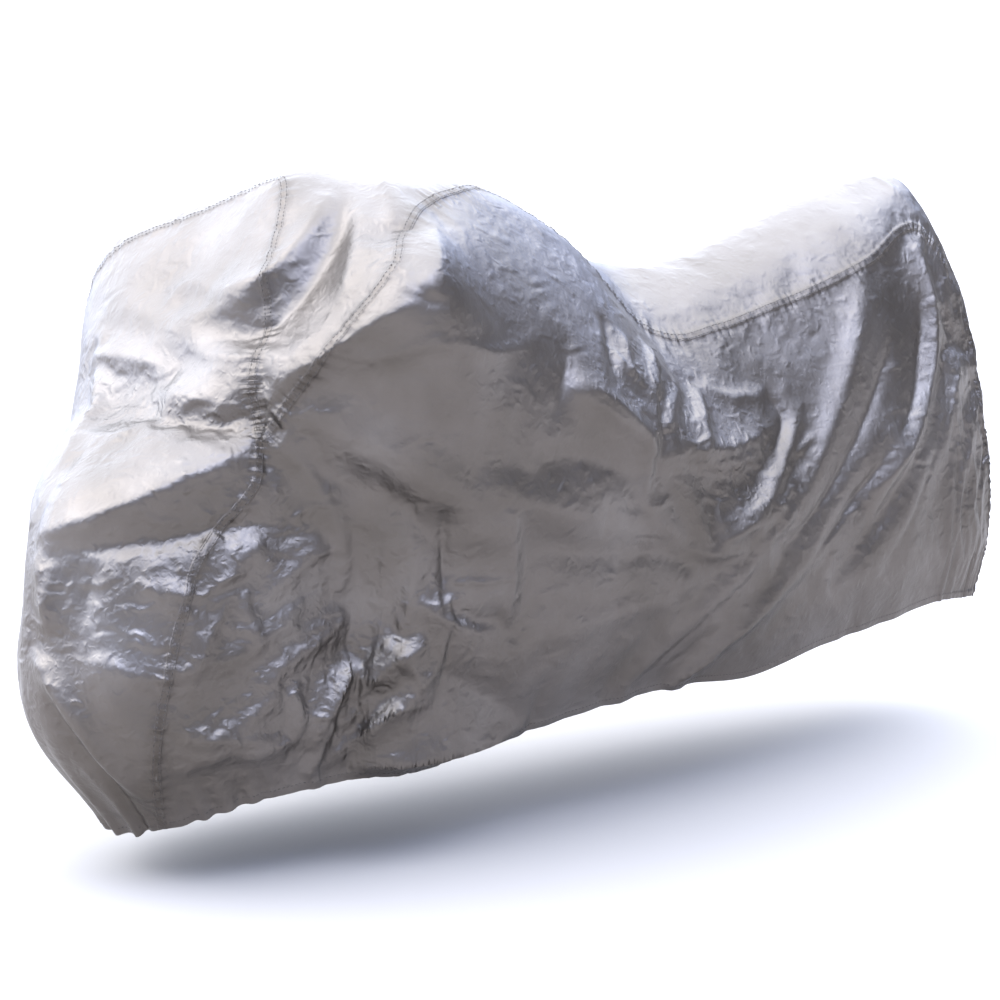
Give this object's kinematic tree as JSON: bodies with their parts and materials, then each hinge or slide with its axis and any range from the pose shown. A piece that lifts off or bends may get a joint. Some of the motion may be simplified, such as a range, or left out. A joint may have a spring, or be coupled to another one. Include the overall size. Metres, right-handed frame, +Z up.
{
  "type": "motorcycle cover",
  "caption": "Draped silver cloth cover for a motorcycle, hollow and open underneath, with a domed front, a dipped seat and a raised tail, sewn from shaped panels.",
  "frame": {"origin": "inside the cover, touching the underside of its highest point over the front dome, where what it covers holds it up", "axes": "+Z up; the nose points towards -X, the tail towards +X; the pictured side faces -Y; the ground is at z = -1.133 m"},
  "size_m": [2.168, 0.8228, 1.0567],
  "materials": {
    "nose_cloth": "silver coated taffeta, satin",
    "near_cloth": "silver coated taffeta, satin",
    "far_cloth": "silver coated taffeta, satin",
    "top_cloth": "silver coated taffeta, satin"
  },
  "bodies": {
    "root": {"nose_panel": "nose_cloth", "near_side_panel": "near_cloth", "far_side_panel": "far_cloth", "centre_strip": "top_cloth"}
  },
  "joints": []
}
